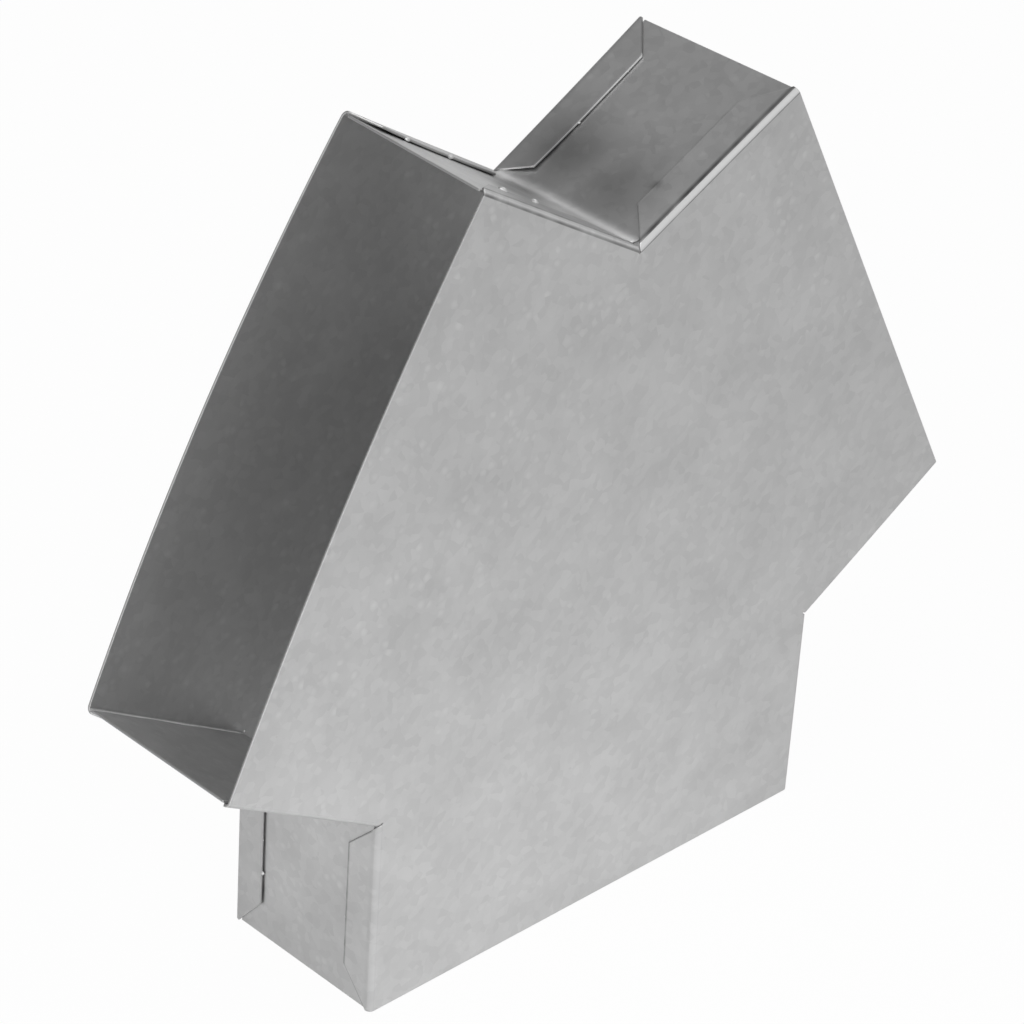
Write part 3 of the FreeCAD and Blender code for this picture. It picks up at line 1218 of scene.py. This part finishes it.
@dataclass(frozen=True)
class Softbox:
    """A square area lamp, in metres and watts, with the angle that its grid lets through in degrees."""

    name: str
    place: Tuple[float, float, float]
    side: float
    power: float
    aim: Tuple[float, float, float] = (0.0, 0.0, 0.1)
    spread: float = 180.0

    def hang(self) -> None:
        """Hangs the lamp and turns it to its aim."""
        light = bpy.data.lights.new(self.name, "AREA")
        light.shape = "SQUARE"
        light.size = self.side
        light.spread = math.radians(self.spread)
        light.energy = self.power
        lamp = bpy.data.objects.new(self.name, light)
        lamp.visible_camera = False
        bpy.context.scene.collection.objects.link(lamp)
        place = Vector(self.place)
        turn = (Vector(self.aim) - place).to_track_quat("-Z", "Y").to_matrix().to_4x4()
        lamp.matrix_world = Matrix.Translation(place) @ turn


@dataclass
class Studio:
    """White floor, soft light and the camera at the photograph's angle, in metres."""

    floor_side: float = 12.0
    floor_drop: float = 0.0003
    floor_white: float = 0.8
    floor_glow: float = 0.97
    glossy_glow: float = 0.13
    # Brightness of the room, from straight behind the fitting to straight in front of it
    room: Tuple[Tuple[float, float], ...] = (
        (0.0, 0.11), (0.2, 0.15), (0.5, 0.4), (0.75, 0.72), (1.0, 0.72))
    horizon: float = 0.6
    horizon_height: float = 0.25
    camera_place: Tuple[float, float, float] = (-0.5950, -0.5688, 0.5937)
    camera_forward: Tuple[float, float, float] = (0.61528, 0.59948, -0.51191)
    camera_up: Tuple[float, float, float] = (0.32018, 0.40336, 0.8572)
    lens: float = 135.29
    sensor: float = 36.0
    softboxes: Tuple[Softbox, ...] = (
        Softbox("top_softbox", (-0.42, 0.0, 0.85), 0.35, 1.25),
        Softbox("high_softbox", (-0.6, -0.15, 0.6), 0.25, 0.42),
        Softbox("low_softbox", (-0.5, -0.4, 0.12), 0.25, 0.22),
        Softbox("floor_softbox", (-0.16, -0.36, 0.12), 0.15, 0.035, (-0.07, -0.09, 0.02), 60.0),
        Softbox("mouth_softbox", (0.45, 0.2, 0.4), 0.4, 0.045, (0.02, 0.0, 0.14), 40.0),
        Softbox("back_softbox", (0.45, 0.45, 0.52), 0.4, 0.15, (0.0, 0.0, 0.15)),
    )

    def lay_floor(self) -> None:
        """Lays a plain white floor that still takes the object's shadow."""
        half = self.floor_side / 2.0
        mesh = bpy.data.meshes.new("studio_floor")
        corners = [(-half, -half, 0.0), (half, -half, 0.0), (half, half, 0.0), (-half, half, 0.0)]
        mesh.from_pydata(corners, [], [(0, 1, 2, 3)])
        floor = bpy.data.objects.new("studio_floor", mesh)
        floor.location.z = -self.floor_drop
        bpy.context.scene.collection.objects.link(floor)
        material = bpy.data.materials.new("studio_floor")
        material.use_nodes = True
        material.cycles.emission_sampling = "NONE"
        desk = NodeDesk(material.node_tree)
        matt = desk.add("ShaderNodeBsdfDiffuse")
        matt.inputs["Color"].default_value = grey(self.floor_white)
        glow = desk.add("ShaderNodeEmission")
        glow.inputs["Color"].default_value = grey(1.0)
        glow.inputs["Strength"].default_value = 1.0
        path = desk.add("ShaderNodeLightPath")
        seen = desk.math("MULTIPLY", path.outputs["Is Camera Ray"], self.floor_glow)
        mirrored = desk.math("MAXIMUM", path.outputs["Is Glossy Ray"], path.outputs["Is Transmission Ray"])
        seen = desk.math("MAXIMUM", seen, desk.math("MULTIPLY", mirrored, self.glossy_glow))
        mixed = desk.mix_shaders(seen, matt.outputs[0], glow.outputs[0])
        desk.join(mixed, desk.add("ShaderNodeOutputMaterial").inputs["Surface"])
        mesh.materials.append(material)

    def fill_sky(self) -> None:
        """Fills the room with soft light, brighter in front and low down, and white to the camera."""
        world = bpy.data.worlds.new("studio_light")
        world.use_nodes = True
        bpy.context.scene.world = world
        desk = NodeDesk(world.node_tree)
        parts = desk.add("ShaderNodeSeparateXYZ")
        desk.join(desk.add("ShaderNodeTexCoord").outputs["Generated"], parts.inputs[0])
        # From 0 straight behind the fitting to 1 straight in front of it
        forwards = desk.math("ADD", desk.math("MULTIPLY", parts.outputs["Y"], -0.5), 0.5)
        ramp = desk.add("ShaderNodeValToRGB")
        stops = ramp.color_ramp.elements
        for _ in self.room[2:]:
            stops.new(0.5)
        for stop, (place, level) in zip(stops, self.room):
            stop.position = place
            stop.color = grey(level)
        desk.join(forwards, ramp.inputs[0])
        low = desk.span(parts.outputs["Z"], 0.0, self.horizon_height, 1.0, 0.0)
        light = desk.add("ShaderNodeBackground")
        desk.join(desk.blend(low, ramp.outputs[0], grey(self.horizon)), light.inputs["Color"])
        white = desk.add("ShaderNodeBackground")
        white.inputs["Color"].default_value = grey(1.0)
        seen = desk.add("ShaderNodeLightPath").outputs["Is Camera Ray"]
        mixed = desk.mix_shaders(seen, light.outputs[0], white.outputs[0])
        desk.join(mixed, desk.add("ShaderNodeOutputWorld").inputs["Surface"])

    def place_camera(self) -> None:
        """Sets the camera where the photograph was taken from."""
        data = bpy.data.cameras.new("photo_camera")
        data.lens = self.lens
        data.sensor_width = self.sensor
        camera = bpy.data.objects.new("photo_camera", data)
        bpy.context.scene.collection.objects.link(camera)
        forward = Vector(self.camera_forward).normalized()
        right = forward.cross(Vector(self.camera_up)).normalized()
        up = right.cross(forward)
        turn = Matrix((right, up, -forward)).transposed().to_4x4()
        camera.matrix_world = Matrix.Translation(Vector(self.camera_place)) @ turn
        bpy.context.scene.camera = camera

    def set_up(self) -> None:
        """Sets up floor, light and camera."""
        self.lay_floor()
        self.fill_sky()
        for softbox in self.softboxes:
            softbox.hang()
        self.place_camera()
        bpy.context.scene.view_settings.view_transform = "Standard"
        log.info("studio with %d softboxes set up", len(self.softboxes))


@dataclass
class DuctYBranch:
    """The whole fitting: two plates, three wall strips and the beads that hold them."""

    sizes: SheetSizes = field(default_factory=SheetSizes)
    seed: int = 11
    # Radius in millimetres and span of strength of the burnt spot round a bead of full size
    scorch_reach: float = 1.6
    scorch_strength: Tuple[float, float] = (0.1, 0.35)
    # A small burn at the front flange's free edge, and painted shade on both legs of the crotch: soft dark
    # patches that stand in for a dark reflection
    crotch_burn_and_shade: Tuple[WallMark, ...] = (
        WallMark(Arm.RIGHT, Hand.LEFT, along=60.5, level=-15.6, radius=1.6, strength=0.8),
        # Painted shade: broad soft dark patches on both crotch legs that stand in for a dark reflection
        WallMark(Arm.RIGHT, Hand.LEFT, along=57.5, level=12.0, radius=13.0, strength=0.6),
        WallMark(Arm.RIGHT, Hand.LEFT, along=54.5, level=-5.0, radius=12.0, strength=0.48),
        WallMark(Arm.LEFT, Hand.RIGHT, along=60.0, level=5.0, radius=9.0, strength=0.5),
        WallMark(Arm.LEFT, Hand.RIGHT, along=52.0, level=12.0, radius=10.0, strength=0.6),
    )
    lays: Dict[FlangeKey, FlangeLay] = field(default_factory=lambda: {
        # The crotch flanges take painted highlights on their free edges and some mitred ends, and the front
        # one a strong painted highlight on its fold; the other flanges take painted shade lines, painted
        # fold shade and the painted shadow beside their free edge, with some grime
        (Face.BACK, Arm.RIGHT, Hand.LEFT): FlangeLay(corner_over=4.0, corner_lift=0.9, edge_lift=0.15,
                                                      edge_tone=1.0, corner_tone=0.9, mouth_tone=-0.8),
        (Face.FRONT, Arm.RIGHT, Hand.LEFT): FlangeLay(corner_lift=0.7, edge_lift=0.12, fold_painted_light=0.9,
                                                      edge_tone=1.0, corner_tone=-0.5, mouth_tone=0.8),
        (Face.BACK, Arm.LEFT, Hand.RIGHT): FlangeLay(mouth_over=6.0, corner_lift=0.2, mouth_lift=0.8),
        (Face.FRONT, Arm.LEFT, Hand.RIGHT): FlangeLay(edge_lift=0.15, fold_tones=FOLD_SHADE_AND_FAINT_HIGHLIGHT, fold_painted_light=0.7,
                                                      seam_shadow_and_dirt=0.5, flat_tone=-0.15, edge_tone=-0.9),
        (Face.BACK, Arm.TRUNK, Hand.RIGHT): FlangeLay(corner_lift=0.3, mouth_lift=0.0, edge_lift=0.18,
                                                      seam_shadow_and_dirt=0.8, flat_tone=-0.06, mouth_tone=0.0),
        (Face.FRONT, Arm.TRUNK, Hand.RIGHT): FlangeLay(edge_lift=0.15, seam_shadow_and_dirt=0.5, edge_tone=-0.9,
                                                       corner_tone=-0.9, mouth_tone=-0.9),
    })

    def burn_and_shade_spots(self, beads: TackBeads) -> List[BurnAndShadeSpot]:
        """Gathers the burns round the beads and the painted shade spots in the crotch.

        Args:
            beads: The weld beads.

        Returns:
            One spot round each bead, and the small burn and the painted shade patches in the crotch.
        """
        draw = np.random.default_rng(self.seed)
        spots = []
        for middle, size, _ in beads.places():
            strength = size * draw.uniform(*self.scorch_strength)
            spots.append(BurnAndShadeSpot(tuple(middle), self.scorch_reach * size, strength))
        return spots + [mark.spot(self.sizes) for mark in self.crotch_burn_and_shade]

    def build(self) -> None:
        """Builds and dresses every piece."""
        sizes = self.sizes
        spring = SheetSpring(sizes)
        spangle = ZincSpangle().group()
        handling = HandlingMarks().group()
        zinc = GalvanisedFinish().material(spangle, handling)
        bright = BeadFinish().material(spangle, handling)
        beads = TackBeads("tack_beads", "tack_welds", sizes)
        spots = self.burn_and_shade_spots(beads)
        sheets = [
            YPlate("front_sheet", "front_plate", Face.FRONT, sizes, self.lays),
            YPlate("back_sheet", "back_plate", Face.BACK, sizes, self.lays),
            WallStrip("crotch_strip", "crotch_wall", Arm.RIGHT, Arm.LEFT, sizes, self.lays, belly=-0.4,
                      bend_ease=5.0, shadow_and_dirt_width=0.9),
            WallStrip("left_strip", "left_wall", Arm.LEFT, Arm.TRUNK, sizes, self.lays),
            WallStrip("right_strip", "right_wall", Arm.TRUNK, Arm.RIGHT, sizes, self.lays),
        ]
        for sheet in sheets:
            hand_over(sheet.build(spring, spots), zinc, sheet.node)
        hand_over(beads.build(spring), bright, beads.node)


def main() -> None:
    """Builds the fitting and the studio round it."""
    logging.basicConfig(level=logging.INFO, format="%(name)s: %(message)s")
    DuctYBranch().build()
    Studio().set_up()


if __name__ == "__main__":
    main()
